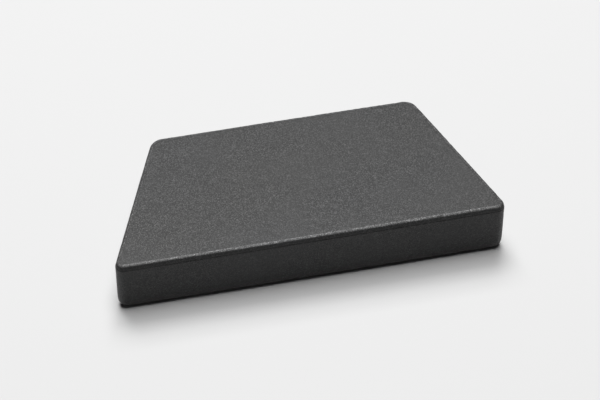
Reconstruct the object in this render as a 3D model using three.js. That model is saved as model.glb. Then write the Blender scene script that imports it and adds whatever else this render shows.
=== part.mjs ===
// A pressed drawing charcoal: one flat trapezoidal block with all its edges and corners rounded.
// It lies on its underside, with its long side towards -Y and its short side towards +Y.
// Millimetres, +Z up. The origin is on the surface that it rests on, under the block's middle.

import * as THREE from 'three';

// Driving dimensions. The sides are measured between the corners as they would be unrounded.
const LONG_SIDE = 60;
const SHORT_SIDE = 40.4;
const DEPTH = 23.6; // from the long side to the short side
const THICKNESS = 10.1;
const SHARP_CORNER_RADIUS = 1.25; // in plan, at the two ends of the long side
const BLUNT_CORNER_RADIUS = 2.4; // in plan, at the two ends of the short side
const TOP_EDGE_RADIUS = 0.7; // between the top face and the sides
const BOTTOM_EDGE_RADIUS = 1.2; // between the underside and the sides

// Fineness of the facets
const CORNER_STEP = THREE.MathUtils.degToRad(7.5);
const EDGE_STEPS = 8;

const QUARTER_TURN = Math.PI / 2;

const charcoal = new THREE.MeshStandardMaterial({
  color: 0x454545,
  roughness: 0.6,
  metalness: 0,
});

// The four sharp corners of the plan, anticlockwise from the left end of the long side.
function planCorners() {
  const front = -DEPTH / 2;
  const back = DEPTH / 2;
  return [
    { at: new THREE.Vector2(-LONG_SIDE / 2, front), radius: SHARP_CORNER_RADIUS },
    { at: new THREE.Vector2(LONG_SIDE / 2, front), radius: SHARP_CORNER_RADIUS },
    { at: new THREE.Vector2(SHORT_SIDE / 2, back), radius: BLUNT_CORNER_RADIUS },
    { at: new THREE.Vector2(-SHORT_SIDE / 2, back), radius: BLUNT_CORNER_RADIUS },
  ];
}

// The arc that rounds one corner: its centre, its radius and the directions that it turns through.
function cornerArc(previous, corner, next) {
  const incoming = corner.at.clone().sub(previous.at).normalize();
  const outgoing = next.at.clone().sub(corner.at).normalize();
  const turn = Math.acos(incoming.dot(outgoing));
  const setBack = corner.radius * Math.tan(turn / 2);
  const inwards = new THREE.Vector2(-incoming.y, incoming.x);
  const centre = corner.at.clone();
  centre.addScaledVector(incoming, -setBack);
  centre.addScaledVector(inwards, corner.radius);
  const start = Math.atan2(-inwards.y, -inwards.x);
  return { centre, radius: corner.radius, start, turn };
}

// The rounded outline, drawn in from the block's full outline by a distance. Each arc keeps its
// centre and its number of points, so outlines drawn in by different distances match point by point.
function outline(inset) {
  const corners = planCorners();
  const points = [];
  corners.forEach((corner, i) => {
    const previous = corners[(i + corners.length - 1) % corners.length];
    const next = corners[(i + 1) % corners.length];
    const arc = cornerArc(previous, corner, next);
    const steps = Math.round(arc.turn / CORNER_STEP);
    for (let step = 0; step <= steps; step++) {
      const angle = arc.start + (arc.turn * step) / steps;
      const offset = new THREE.Vector2(Math.cos(angle), Math.sin(angle));
      points.push(arc.centre.clone().addScaledVector(offset, arc.radius - inset));
    }
  });
  return points;
}

// The levels from the underside to the top face: a quarter round, the upright side, a quarter round.
function levels() {
  const list = [];
  for (let step = 0; step <= EDGE_STEPS; step++) {
    const angle = (QUARTER_TURN * step) / EDGE_STEPS;
    list.push({
      inset: BOTTOM_EDGE_RADIUS * (1 - Math.sin(angle)),
      height: BOTTOM_EDGE_RADIUS * (1 - Math.cos(angle)),
    });
  }
  for (let step = 0; step <= EDGE_STEPS; step++) {
    const angle = (QUARTER_TURN * step) / EDGE_STEPS;
    list.push({
      inset: TOP_EDGE_RADIUS * (1 - Math.cos(angle)),
      height: THICKNESS - TOP_EDGE_RADIUS * (1 - Math.sin(angle)),
    });
  }
  return list;
}

// A closed solid through the outlines at every level, with the flat underside and top face filled.
function blockGeometry() {
  const rings = levels().map(({ inset, height }) =>
    outline(inset).map((point) => new THREE.Vector3(point.x, point.y, height))
  );
  const around = rings[0].length;
  const topStart = (rings.length - 1) * around;
  const index = [];
  for (let level = 0; level < rings.length - 1; level++) {
    for (let i = 0; i < around; i++) {
      const a = level * around + i;
      const b = level * around + ((i + 1) % around);
      index.push(a, b, b + around);
      index.push(a, b + around, a + around);
    }
  }
  const face = THREE.ShapeUtils.triangulateShape(outline(0), []);
  for (const [a, b, c] of face) {
    index.push(a, c, b);
    index.push(topStart + a, topStart + b, topStart + c);
  }
  const geometry = new THREE.BufferGeometry().setFromPoints(rings.flat());
  geometry.setIndex(index);
  geometry.computeVertexNormals();
  return geometry;
}

const block = new THREE.Mesh(blockGeometry(), charcoal);
block.name = 'charcoal_block';

const charcoalStick = new THREE.Group();
charcoalStick.add(block);

export default charcoalStick;
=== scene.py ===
"""A pressed drawing charcoal: one flat trapezoidal block with rounded edges, lying on a pale table.

The block has the CAD part's dimensions, but for a softer bottom edge. Its depth and height are read from
the CAD frame. This script adds the fine surface: uneven pressing and pits, the line left by the mould under
the top edge, the crumbly rim, the worn lower corners, and the grainy charcoal material. The material also
paints shade on the upright sides and in the crease under the top edge, and a highlight along its crest.
"""

import math
import random

import bpy
import numpy as np
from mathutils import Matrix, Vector, geometry, kdtree, noise


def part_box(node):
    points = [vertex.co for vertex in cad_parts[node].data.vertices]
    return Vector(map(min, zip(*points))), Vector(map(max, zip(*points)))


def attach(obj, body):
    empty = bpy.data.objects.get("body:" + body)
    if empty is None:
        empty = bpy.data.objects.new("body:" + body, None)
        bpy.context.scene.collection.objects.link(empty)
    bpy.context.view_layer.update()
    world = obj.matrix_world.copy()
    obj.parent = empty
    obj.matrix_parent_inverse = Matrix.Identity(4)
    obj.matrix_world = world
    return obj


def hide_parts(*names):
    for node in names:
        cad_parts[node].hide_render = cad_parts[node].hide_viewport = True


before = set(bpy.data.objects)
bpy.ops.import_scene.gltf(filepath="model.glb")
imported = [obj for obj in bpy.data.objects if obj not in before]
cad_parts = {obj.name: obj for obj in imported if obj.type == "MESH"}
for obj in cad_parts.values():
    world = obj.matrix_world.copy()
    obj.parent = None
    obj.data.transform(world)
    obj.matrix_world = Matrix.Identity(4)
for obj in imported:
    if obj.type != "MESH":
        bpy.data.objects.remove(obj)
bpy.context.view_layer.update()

MM = 0.001

# Driving dimensions of the block, as in the CAD part. Its depth and height come from the frame.
NODE = "charcoal_block"
LONG_SIDE = 60 * MM
SHORT_SIDE = 40.4 * MM
SHARP_CORNER_RADIUS = 1.25 * MM
BLUNT_CORNER_RADIUS = 2.4 * MM
TOP_EDGE_RADIUS = 0.7 * MM
BOTTOM_EDGE_RADIUS = 1.36 * MM  # softer than the CAD edge, which it stays inside
low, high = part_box(NODE)
FRONT, BACK = low.y, high.y
WALL_BOTTOM = low.z + BOTTOM_EDGE_RADIUS
WALL_TOP = high.z - TOP_EDGE_RADIUS

# Fineness of the surface mesh
POINT_SPACING = 0.222 * MM
TOP_EDGE_STEPS = 14
BOTTOM_EDGE_STEPS = 10
WALL_STEPS = 30
FINE_WALL_HEIGHT = 0.6 * MM  # the height under the top edge that takes closer levels
FINE_WALL_STEPS = 9
LATTICE_MARGIN = 0.6 * POINT_SPACING  # how far a flat face's inner points keep from its outline

# Wear and bowing of the outline, all inside the CAD solid
SIDE_BOW = 0.0008  # how far the ends of a side lie inside its middle, as a share of its length
SMALLEST_CORNER_RADIUS = 0.2 * MM  # what a corner keeps where the levels draw in
CORNER_WEAR = 0.35 * MM  # how much wider than elsewhere a corner's arc is at the underside
CORNER_WEAR_HEIGHT = 2.5 * MM  # how far up the corner that wear reaches

# The top edge. Tilts are in degrees: 0 on the top, 90 on the sides.
TOP_EDGE_FACETING = math.radians(6.3)  # 0 gives an even arc; more gives two facets with a ridge between
MOULD_STEP_DEPTH = 0.08 * MM  # how far the edge stands back from the sides
MOULD_STEP_HEIGHT = 0.12 * MM  # the height over which the side turns in to the step
MOULD_LINE_DROP = 0.13 * MM  # how far below the rounded edge the step lies
MOULD_STEP_TILT = 40  # where the edge begins to stand back
MOULD_STEP_UNEVENNESS = 0.4  # how much that depth varies, as a share of it
MOULD_STEP_WAVES = 3.5 * MM  # the size of the places where it is deeper or shallower
CREASE_SHADE_TILT = 52  # where the painted shade in the crease over the mould line begins
CREASE_SHADE_REACH = 35  # how much further the edge turns until that painted shade is full
CREASE_SHADE_END = 0.1 * MM  # the height over which the painted shade ends below
CREST_TILT = 16  # the middle of the rubbed line along the top of the edge, which also carries a painted highlight
CREST_REACH = 16  # how far the line reaches to either side

# The relief, cut inwards from the smooth block
HUMPS = ((7 * MM, 0.012 * MM), (1.6 * MM, 0.008 * MM), (0.7 * MM, 0.007 * MM))  # (size, depth)
CRUMB_SIZES = 1.1 * MM, 0.5 * MM
CRUMB_DEPTH = 0.018 * MM
PIT_COUNT, PIT_RADIUS, PIT_DEPTH = 700, 0.45 * MM, 0.035 * MM
RIM_PIT_COUNT, RIM_PIT_RADIUS, RIM_PIT_DEPTH = 420, 0.4 * MM, 0.03 * MM
RIM_PIT_LIMIT = 0.5  # the rim's pits lie where rim_share is above this
PIT_RADIUS_RANGE = 0.5, 1.2  # a pit's radius and depth vary between these shares of the given ones
PIT_DEPTH_RANGE = 0.3, 1.0
RELIEF_SHIFT = (17.3, 5.9, 9.7)  # how far apart two patterns of the relief are taken, in humps

# Sizes of what the material draws
GRAIN = 0.1 * MM
RUBBED_AND_HIGHLIGHT_SPOTS = 0.12 * MM
SURFACE_LUMPS = 0.16 * MM
CREASE_SHADE_SPOTS = 0.45 * MM
FLECK_SPACING = 0.8 * MM
MOTTLE = 2.5 * MM
GRAINY_PATCHES = 9 * MM
TINT_PATCHES = 14 * MM
MATERIAL_SHIFT = (0.173, 0.059, 0.097)  # how far apart two patterns of the material are taken, in metres

# Colours and strengths of what the material draws
WARM_GREY = (0.0344, 0.0340, 0.0332)
COOL_GREY = (0.0336, 0.0340, 0.0351)
GRAIN_STRENGTH = 1.9
FLECK_LIMIT = 0.9  # a cell has a fleck when its random number is above this
FLECK_RADIUS = 0.13  # as a share of the spacing
FLECK_LIGHTNESS = 0.7
SIDE_PAINTED_SHADE = 0.68  # painted shade: how light the upright sides' colour is made, with the top as 1
# Painted highlight: how much lighter the colour is made on the rubbed crest
CREST_PAINTED_HIGHLIGHT = 3.4
RUBBED_SHINE = 0.3  # how much less rough a rubbed spot is
SPECULAR_LEVEL = 0.25
GRAIN_IN_BUMP = 0.3
BUMP_DISTANCE = 0.015 * MM
BUMP_STRENGTH = 0.6

# The table and the camera. Azimuth 0 is the front, -Y; angles are in degrees.
TABLE_SIZE = 3.0
TABLE_GAP = 0.01 * MM  # between the block and the table
TABLE_ALBEDO = 0.6
SURROUNDINGS_STRENGTH = 0.03
CAMERA_AZIMUTH = -11.42
CAMERA_ELEVATION = 51.6
CAMERA_DISTANCE = 459.2 * MM
CAMERA_TARGET = Vector((1.13 * MM, 3.51 * MM, 0.0))
CAMERA_LENS = 180.0
CAMERA_SENSOR = 36.0


# ---------------------------------------------------------------- the rounded outline


def plan_corners():
    """The plan's four sharp corners, anticlockwise, each with the radius that rounds it."""
    return [
        (Vector((-LONG_SIDE / 2, FRONT)), SHARP_CORNER_RADIUS),
        (Vector((LONG_SIDE / 2, FRONT)), SHARP_CORNER_RADIUS),
        (Vector((SHORT_SIDE / 2, BACK)), BLUNT_CORNER_RADIUS),
        (Vector((-SHORT_SIDE / 2, BACK)), BLUNT_CORNER_RADIUS),
    ]


def corner_arc(previous, corner, following, radius):
    """Centre, start angle and turn of the arc that rounds a corner."""
    incoming = (corner - previous).normalized()
    outgoing = (following - corner).normalized()
    turn = incoming.angle(outgoing)
    inwards = Vector((-incoming.y, incoming.x))
    centre = corner - incoming * radius * math.tan(turn / 2) + inwards * radius
    return centre, math.atan2(-inwards.y, -inwards.x), turn


def outline(inset, wear):
    """Points round the plan, drawn in by a distance, and the outward direction at each.

    A corner's arc shrinks about its centre, and then the centre moves in with its smallest arc. A worn
    corner has a wider arc. All outlines have the same number of points, so they match one by one.
    """
    corners = plan_corners()
    arcs, bows = [], []
    for i, (corner, radius) in enumerate(corners):
        previous, following = corners[i - 1][0], corners[(i + 1) % 4][0]
        centre, start, turn = corner_arc(previous, corner, following, radius)
        left = max(radius - inset, SMALLEST_CORNER_RADIUS) + wear
        towards_corner = Vector((math.cos(start + turn / 2), math.sin(start + turn / 2)))
        centre = centre - towards_corner * (inset + left - radius) / math.cos(turn / 2)
        arcs.append((centre, start, turn, left, math.ceil(radius * turn / POINT_SPACING)))
        bows.append(SIDE_BOW * (following - corner).length)
    points, directions, pulls = [], [], []
    for i, (centre, start, turn, radius, steps) in enumerate(arcs):
        for step in range(steps + 1):
            share = step / steps
            angle = start + turn * share
            direction = Vector((math.cos(angle), math.sin(angle)))
            points.append(centre + direction * radius)
            directions.append(direction)
            pulls.append(bows[i - 1] * (1 - share) + bows[i] * share)
        end_centre, end_angle, _, end_radius, _ = arcs[(i + 1) % 4]
        end = end_centre + Vector((math.cos(end_angle), math.sin(end_angle))) * end_radius
        begin, direction = points[-1], directions[-1]
        steps = math.ceil((corners[(i + 1) % 4][0] - corners[i][0]).length / POINT_SPACING)
        for step in range(1, steps):
            share = step / steps
            points.append(begin.lerp(end, share))
            directions.append(direction)
            pulls.append(bows[i] * (1 - 4 * share * (1 - share)))
    points, directions = np.array(points), np.array(directions)
    return points - directions * np.array(pulls)[:, None], directions


# ---------------------------------------------------------------- the closed surface


def top_edge():
    """The levels over the top edge, which turns over in two nearly flat facets with rounded ridges."""
    middles = (np.arange(TOP_EDGE_STEPS) + 0.5) / TOP_EDGE_STEPS
    tilts = math.pi / 2 * middles + TOP_EDGE_FACETING * np.sin(4 * math.pi * middles)
    inwards, upwards = np.cumsum(np.sin(tilts)), np.cumsum(np.cos(tilts))
    found = []
    for step in range(TOP_EDGE_STEPS):
        share = (step + 1) / TOP_EDGE_STEPS
        inset = TOP_EDGE_RADIUS * inwards[step] / inwards[-1]
        height = WALL_TOP + TOP_EDGE_RADIUS * upwards[step] / upwards[-1]
        tilt = math.pi / 2 * share + TOP_EDGE_FACETING * math.sin(4 * math.pi * share)
        found.append((inset, height, tilt))
    return found


def levels():
    """The levels from the underside to the top: (how far inwards, height, tilt of the surface)."""
    found = []
    for step in range(BOTTOM_EDGE_STEPS + 1):
        tilt = math.pi / 2 * (step / BOTTOM_EDGE_STEPS - 1)
        inset = BOTTOM_EDGE_RADIUS * (1 - math.cos(tilt))
        found.append((inset, WALL_BOTTOM + BOTTOM_EDGE_RADIUS * math.sin(tilt), tilt))
    fine_wall_bottom = WALL_TOP - FINE_WALL_HEIGHT
    heights = np.linspace(WALL_BOTTOM, fine_wall_bottom, WALL_STEPS)[1:].tolist()
    heights += np.linspace(fine_wall_bottom, WALL_TOP, FINE_WALL_STEPS)[1:-1].tolist()
    found += [(0.0, height, 0.0) for height in heights]
    found.append((0.0, WALL_TOP, 0.0))
    return found + top_edge()


def corner_wear(height):
    """How much wider a corner's arc is made at a height: most at the underside, fading to nothing above."""
    share = max(0.0, 1 - (height - low.z) / CORNER_WEAR_HEIGHT)
    return CORNER_WEAR * share * share


def face_triangles(rim):
    """Fills an outline with even triangles: gives all the points, the outline's first, and the triangles."""
    row_height = POINT_SPACING * math.sqrt(3) / 2
    lowest, highest = rim.min(0), rim.max(0)
    rows = int((highest[1] - lowest[1]) / row_height)
    columns = int((highest[0] - lowest[0]) / POINT_SPACING)
    row, column = np.mgrid[: rows + 1, : columns + 1]
    x = lowest[0] + (column + 0.5 * (row % 2)) * POINT_SPACING
    y = lowest[1] + row * row_height
    lattice = np.column_stack([x.ravel(), y.ravel()])
    along = np.roll(rim, -1, axis=0) - rim
    along /= np.linalg.norm(along, axis=1)[:, None]
    inside = np.ones(len(lattice), bool)
    for start, direction in zip(rim, along):
        away = lattice - start
        inside &= direction[0] * away[:, 1] - direction[1] * away[:, 0] > LATTICE_MARGIN
    points = np.vstack([rim, lattice[inside]])
    edges = [(i, (i + 1) % len(rim)) for i in range(len(rim))]
    only_inside = 1
    tolerance = 1e-9
    found = geometry.delaunay_2d_cdt([Vector(p) for p in points], edges, [], only_inside, tolerance)
    return points, found[2]


def block_surface():
    """Vertices, their outward directions and the triangles of the smooth block, closed all round."""
    vertices, normals = [], []
    for inset, height, tilt in levels():
        points, directions = outline(inset, corner_wear(height))
        around = len(points)
        vertices.append(np.column_stack([points, np.full(around, height)]))
        normals.append(np.column_stack([directions * math.cos(tilt), np.full(around, math.sin(tilt))]))
    rings = len(vertices)
    triangles = []
    for ring in range(rings - 1):
        for i in range(around):
            a = ring * around + i
            b = ring * around + (i + 1) % around
            triangles.append((a, b, b + around))
            triangles.append((a, b + around, a + around))
    for ring, up in ((0, -1.0), (rings - 1, 1.0)):
        rim_start = ring * around
        inner_start = sum(len(v) for v in vertices)
        face_points, face = face_triangles(vertices[ring][:, :2])
        inner = face_points[around:]
        vertices.append(np.column_stack([inner, np.full(len(inner), vertices[ring][0, 2])]))
        normals.append(np.tile((0.0, 0.0, up), (len(inner), 1)))
        for corners in face:
            corners = [i + rim_start if i < around else i - around + inner_start for i in corners]
            triangles.append(corners if up > 0 else corners[::-1])
    return np.vstack(vertices), np.vstack(normals), triangles


# ---------------------------------------------------------------- the fine relief


def smooth_noise(points, size, seed):
    """Smooth noise between about -1 and 1, with humps of one size, at each point."""
    shift = Vector([seed * step for step in RELIEF_SHIFT])
    return np.array([noise.noise(Vector(p) / size + shift) for p in points])


def dents(points, allowed, count, radius, depth, seed):
    """How deep many small round dents go at each point. Their centres are picked from the allowed points."""
    draw = random.Random(seed)
    tree = kdtree.KDTree(len(points))
    for i, point in enumerate(points):
        tree.insert(point, i)
    tree.balance()
    found = np.zeros(len(points))
    for centre in draw.sample(np.flatnonzero(allowed).tolist(), count):
        reach = radius * draw.uniform(*PIT_RADIUS_RANGE)
        deepest = depth * draw.uniform(*PIT_DEPTH_RANGE)
        for _, i, distance in tree.find_range(points[centre], reach):
            found[i] = max(found[i], deepest * (1 - (distance / reach) ** 2) ** 2)
    return found


def top_edge_tilt(normals):
    """How far the surface has turned over the top edge, in degrees: 0 on the top, 90 on the sides."""
    return 90 - np.degrees(np.arcsin(np.clip(normals[:, 2], 0, 1)))


def mould_step(points, normals):
    """How far the rounded top edge stands back from the sides, where the two halves of the mould met."""
    tilt = top_edge_tilt(normals)
    above = np.clip((points[:, 2] - WALL_TOP + MOULD_LINE_DROP) / MOULD_STEP_HEIGHT + 1, 0, 1)
    fading = np.clip((tilt - MOULD_STEP_TILT) / (90 - MOULD_STEP_TILT), 0, 1)
    depth = MOULD_STEP_DEPTH * (1 + MOULD_STEP_UNEVENNESS * smooth_noise(points, MOULD_STEP_WAVES, seed=5))
    return depth * above * above * (3 - 2 * above) * fading


def rim_share(normals):
    """1 on the middle of the rounded top edge and 0 on the flat faces, with a smooth change."""
    return np.clip(np.sin(2 * np.arcsin(np.clip(normals[:, 2], 0, 1))), 0, 1)


def side_share(normals):
    """1 on the upright sides and 0 on the top and the underside. It places the painted side shade."""
    return 1 - np.clip(np.abs(normals[:, 2]), 0, 1)


def band_share(points, normals):
    """1 at the foot of the rounded top edge, fading upwards over it and ending sharply on the side. It
    places the painted crease shade.
    """
    tilt = top_edge_tilt(normals)
    on_edge = np.clip((points[:, 2] - WALL_TOP + MOULD_LINE_DROP) / CREASE_SHADE_END + 1.0, 0, 1)
    return on_edge * np.clip((tilt - CREASE_SHADE_TILT) / CREASE_SHADE_REACH, 0, 1)


def crest_share(normals):
    """1 where the top just turns over into its rounded edge, and 0 elsewhere."""
    tilt = top_edge_tilt(normals)
    return np.clip(1 - np.abs(tilt - CREST_TILT) / CREST_REACH, 0, 1)


def relief(points, normals):
    """How far each point of the smooth block moves inwards: uneven pressing, pits, crumbs, mould line."""
    inwards = np.zeros(len(points))
    for seed, (size, depth) in enumerate(HUMPS, start=1):
        inwards += depth * (1 + smooth_noise(points, size, seed))
    anywhere = np.ones(len(points), bool)
    inwards += dents(points, anywhere, PIT_COUNT, PIT_RADIUS, PIT_DEPTH, seed=11)
    rim = rim_share(normals)
    coarse, fine = CRUMB_SIZES
    crumbs = np.abs(smooth_noise(points, coarse, seed=4)) + np.abs(smooth_noise(points, fine, seed=6))
    inwards += CRUMB_DEPTH * rim * crumbs
    on_rim = rim > RIM_PIT_LIMIT
    inwards += dents(points, on_rim, RIM_PIT_COUNT, RIM_PIT_RADIUS, RIM_PIT_DEPTH, seed=12)
    inwards += mould_step(points, normals)
    return inwards


def make_block():
    """The block as one mesh object. Its points keep the shares that the material reads."""
    vertices, normals, triangles = block_surface()
    shares = {
        "side": side_share(normals),
        "band": band_share(vertices, normals),
        "crest": crest_share(normals),
    }
    vertices = vertices - normals * relief(vertices, normals)[:, None]
    mesh = bpy.data.meshes.new("pressed_block")
    mesh.from_pydata(vertices.tolist(), [], triangles)
    for name, share in shares.items():
        mesh.attributes.new(name, "FLOAT", "POINT").data.foreach_set("value", share.astype(np.float32))
    mesh.validate()
    mesh.shade_smooth()
    block = bpy.data.objects.new("pressed_block", mesh)
    bpy.context.scene.collection.objects.link(block)
    return block


# ---------------------------------------------------------------- material


class Tree:
    """Short calls that build one material's nodes. Places are the object's own, in metres."""

    def __init__(self, name):
        self.material = bpy.data.materials.new(name)
        self.material.use_nodes = True
        self.nodes = self.material.node_tree.nodes
        self.links = self.material.node_tree.links
        self.shader = self.nodes["Principled BSDF"]
        self.place = self.nodes.new("ShaderNodeTexCoord").outputs["Object"]

    def feed(self, socket, value):
        """Gives a socket a number or a colour, or the output of another node."""
        if isinstance(value, bpy.types.NodeSocket):
            self.links.new(value, socket)
        else:
            socket.default_value = value

    def share(self, name):
        """A number from 0 to 1 kept on the mesh's points."""
        node = self.nodes.new("ShaderNodeAttribute")
        node.attribute_name = name
        return node.outputs["Fac"]

    def shifted(self, seed):
        """The place, moved by some centimetres, so that no two patterns line up."""
        add = self.nodes.new("ShaderNodeVectorMath")
        self.feed(add.inputs[0], self.place)
        self.feed(add.inputs[1], [seed * step for step in MATERIAL_SHIFT])
        return add.outputs[0]

    def noise(self, size, seed, detail=1.0):
        """Soft noise around 0.5, with blots of one size."""
        node = self.nodes.new("ShaderNodeTexNoise")
        self.feed(node.inputs["Vector"], self.shifted(seed))
        self.feed(node.inputs["Scale"], 1 / size)
        self.feed(node.inputs["Detail"], detail)
        return node.outputs["Fac"]

    def grains(self, size, seed):
        """Cells of one size: a random number from 0 to 1 for each cell, and the distance to its middle."""
        node = self.nodes.new("ShaderNodeTexVoronoi")
        self.feed(node.inputs["Vector"], self.shifted(seed))
        self.feed(node.inputs["Scale"], 1 / size)
        split = self.nodes.new("ShaderNodeSeparateColor")
        self.feed(split.inputs[0], node.outputs["Color"])
        return split.outputs[0], node.outputs["Distance"]

    def math(self, operation, a, b=0.0):
        """One sum on two numbers."""
        node = self.nodes.new("ShaderNodeMath")
        node.operation = operation
        self.feed(node.inputs[0], a)
        self.feed(node.inputs[1], b)
        return node.outputs[0]

    def spread(self, value, taken, given):
        """Stretches one range of numbers to another, and holds the value inside it."""
        node = self.nodes.new("ShaderNodeMapRange")
        for socket, number in zip(node.inputs[:5], (value, *taken, *given)):
            self.feed(socket, number)
        return node.outputs[0]

    def tint(self, fac, colour_a, colour_b):
        """A mix of two colours."""
        node = self.nodes.new("ShaderNodeMix")
        node.data_type = "RGBA"
        self.feed(node.inputs["Factor"], fac)
        self.feed(node.inputs[6], (*colour_a, 1))
        self.feed(node.inputs[7], (*colour_b, 1))
        return node.outputs[2]

    def times(self, colour, factor):
        """A colour made lighter or darker."""
        node = self.nodes.new("ShaderNodeVectorMath")
        node.operation = "SCALE"
        self.feed(node.inputs[0], colour)
        self.feed(node.inputs["Scale"], factor)
        return node.outputs[0]


def grain_pattern(tree):
    """A random number for each grain, around 0 with a few high ones, stronger in some patches."""
    patches = tree.spread(tree.noise(GRAINY_PATCHES, seed=2), (0.3, 0.6), (0.6, 1.0))
    grain, _ = tree.grains(GRAIN, seed=3)
    grain = tree.math("POWER", grain, 3.0)
    mean_of_cubes = 0.25
    grain = tree.math("SUBTRACT", grain, mean_of_cubes)
    grain = tree.math("MULTIPLY", grain, patches)
    return tree.math("MULTIPLY", grain, GRAIN_STRENGTH)


def fleck_pattern(tree):
    """1 on small round flecks in a few of the cells, and 0 elsewhere."""
    pick, distance = tree.grains(FLECK_SPACING, seed=5)
    picked = tree.math("GREATER_THAN", pick, FLECK_LIMIT)
    near_middle = tree.math("LESS_THAN", distance, FLECK_RADIUS)
    return tree.math("MULTIPLY", picked, near_middle)


def crease_shade_pattern(tree):
    """How much painted shade lies on the band over the mould line, in the crease under the top edge."""
    amount = tree.spread(tree.noise(CREASE_SHADE_SPOTS, seed=8, detail=2), (0.35, 0.65), (0.3, 0.7))
    return tree.math("MULTIPLY", tree.share("band"), amount)


def rubbed_and_highlight_pattern(tree):
    """How much each spot along the crest of the top edge is rubbed smooth and lit by a painted highlight."""
    amount = tree.spread(tree.noise(RUBBED_AND_HIGHLIGHT_SPOTS, seed=7, detail=2), (0.42, 0.58), (0.05, 1.1))
    return tree.math("MULTIPLY", tree.share("crest"), amount)


def charcoal_material():
    """Pressed charcoal: nearly black and matt, of fine grains with different greys."""
    tree = Tree("pressed_charcoal")
    body = tree.tint(tree.noise(TINT_PATCHES, seed=1), WARM_GREY, COOL_GREY)
    grain = grain_pattern(tree)
    mottle = tree.spread(tree.noise(MOTTLE, seed=4, detail=2), (0.3, 0.7), (0.96, 1.04))
    shade = tree.math("MULTIPLY", tree.math("ADD", grain, 1.0), mottle)
    shade = tree.math("ADD", shade, tree.math("MULTIPLY", fleck_pattern(tree), FLECK_LIGHTNESS))
    # Painted shade: the upright sides are made darker than the top.
    shade = tree.math("MULTIPLY", shade, tree.spread(tree.share("side"), (0.0, 1.0), (1.0, SIDE_PAINTED_SHADE)))
    # Painted shade: the crease over the mould line is made darker, in uneven spots.
    shade = tree.math("MULTIPLY", shade, tree.math("SUBTRACT", 1.0, crease_shade_pattern(tree)))
    rubbed_and_highlight = rubbed_and_highlight_pattern(tree)
    # Painted highlight: the rubbed crest's colour is made lighter, and it is also less rough.
    painted_highlight = tree.math("ADD", tree.math("MULTIPLY", rubbed_and_highlight, CREST_PAINTED_HIGHLIGHT), 1.0)
    shade = tree.math("MULTIPLY", shade, painted_highlight)
    tree.feed(tree.shader.inputs["Base Color"], tree.times(body, shade))
    rough = tree.spread(grain, (-0.5, 0.8), (0.55, 0.42))
    rough = tree.math("SUBTRACT", rough, tree.math("MULTIPLY", rubbed_and_highlight, RUBBED_SHINE))
    tree.feed(tree.shader.inputs["Roughness"], rough)
    tree.feed(tree.shader.inputs["Specular IOR Level"], SPECULAR_LEVEL)
    lumps = tree.noise(SURFACE_LUMPS, seed=6, detail=2)
    height = tree.math("ADD", lumps, tree.math("MULTIPLY", grain, GRAIN_IN_BUMP))
    bump = tree.nodes.new("ShaderNodeBump")
    tree.feed(bump.inputs["Height"], height)
    tree.feed(bump.inputs["Distance"], BUMP_DISTANCE)
    tree.feed(bump.inputs["Strength"], BUMP_STRENGTH)
    tree.feed(tree.shader.inputs["Normal"], bump.outputs[0])
    return tree.material


# ---------------------------------------------------------------- table, light and camera


def make_table():
    """A plain pale floor just under the block."""
    mesh = bpy.data.meshes.new("table")
    half = TABLE_SIZE / 2
    z = low.z - TABLE_GAP
    corners = [(-half, -half, z), (half, -half, z), (half, half, z), (-half, half, z)]
    mesh.from_pydata(corners, [], [(0, 1, 2, 3)])
    table = bpy.data.objects.new("table", mesh)
    bpy.context.scene.collection.objects.link(table)
    material = bpy.data.materials.new("table_white")
    material.use_nodes = True
    shader = material.node_tree.nodes["Principled BSDF"]
    shader.inputs["Base Color"].default_value = (TABLE_ALBEDO, TABLE_ALBEDO, TABLE_ALBEDO, 1)
    shader.inputs["Roughness"].default_value = 0.9
    shader.inputs["Specular IOR Level"].default_value = 0.0
    mesh.materials.append(material)


def direction_to(azimuth, elevation):
    """Unit vector from the block towards a place seen from the front (azimuth 0 is -Y), in degrees."""
    a, e = math.radians(azimuth), math.radians(elevation)
    return Vector((math.sin(a) * math.cos(e), -math.cos(a) * math.cos(e), math.sin(e)))


def make_light(name, azimuth, elevation, width, height, watts):
    """A rectangular soft light that looks at the block from one metre away."""
    data = bpy.data.lights.new(name, "AREA")
    data.shape = "RECTANGLE"
    data.size, data.size_y = width, height
    data.energy = watts
    light = bpy.data.objects.new(name, data)
    towards = direction_to(azimuth, elevation)
    light.location = towards
    light.rotation_euler = towards.to_track_quat("Z", "Y").to_euler()
    bpy.context.scene.collection.objects.link(light)


def make_camera():
    """The camera, at the photograph's viewing angle."""
    data = bpy.data.cameras.new("camera")
    data.lens = CAMERA_LENS
    data.sensor_width = CAMERA_SENSOR
    data.clip_start = 0.01
    data.clip_end = 10.0
    camera = bpy.data.objects.new("camera", data)
    towards = direction_to(CAMERA_AZIMUTH, CAMERA_ELEVATION)
    camera.location = CAMERA_TARGET + towards * CAMERA_DISTANCE
    camera.rotation_euler = towards.to_track_quat("Z", "Y").to_euler()
    bpy.context.scene.collection.objects.link(camera)
    bpy.context.scene.camera = camera


def make_world():
    """Dim, even surroundings, which lift the darkest shadows a little."""
    world = bpy.data.worlds.new("studio")
    world.use_nodes = True
    background = world.node_tree.nodes["Background"]
    background.inputs["Color"].default_value = (1, 1, 1, 1)
    background.inputs["Strength"].default_value = SURROUNDINGS_STRENGTH
    bpy.context.scene.world = world


block = make_block()
block.data.materials.append(charcoal_material())
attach(block, "root")
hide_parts(NODE)
make_table()
make_light("overhead", azimuth=180, elevation=71, width=0.55, height=0.72, watts=10.25)
make_light("overhead_middle", azimuth=180, elevation=68.5, width=0.4, height=0.25, watts=2.7)
make_light("key", azimuth=40, elevation=84, width=0.3, height=0.3, watts=3.2)
make_world()
make_camera()
bpy.context.scene.view_settings.view_transform = "Standard"
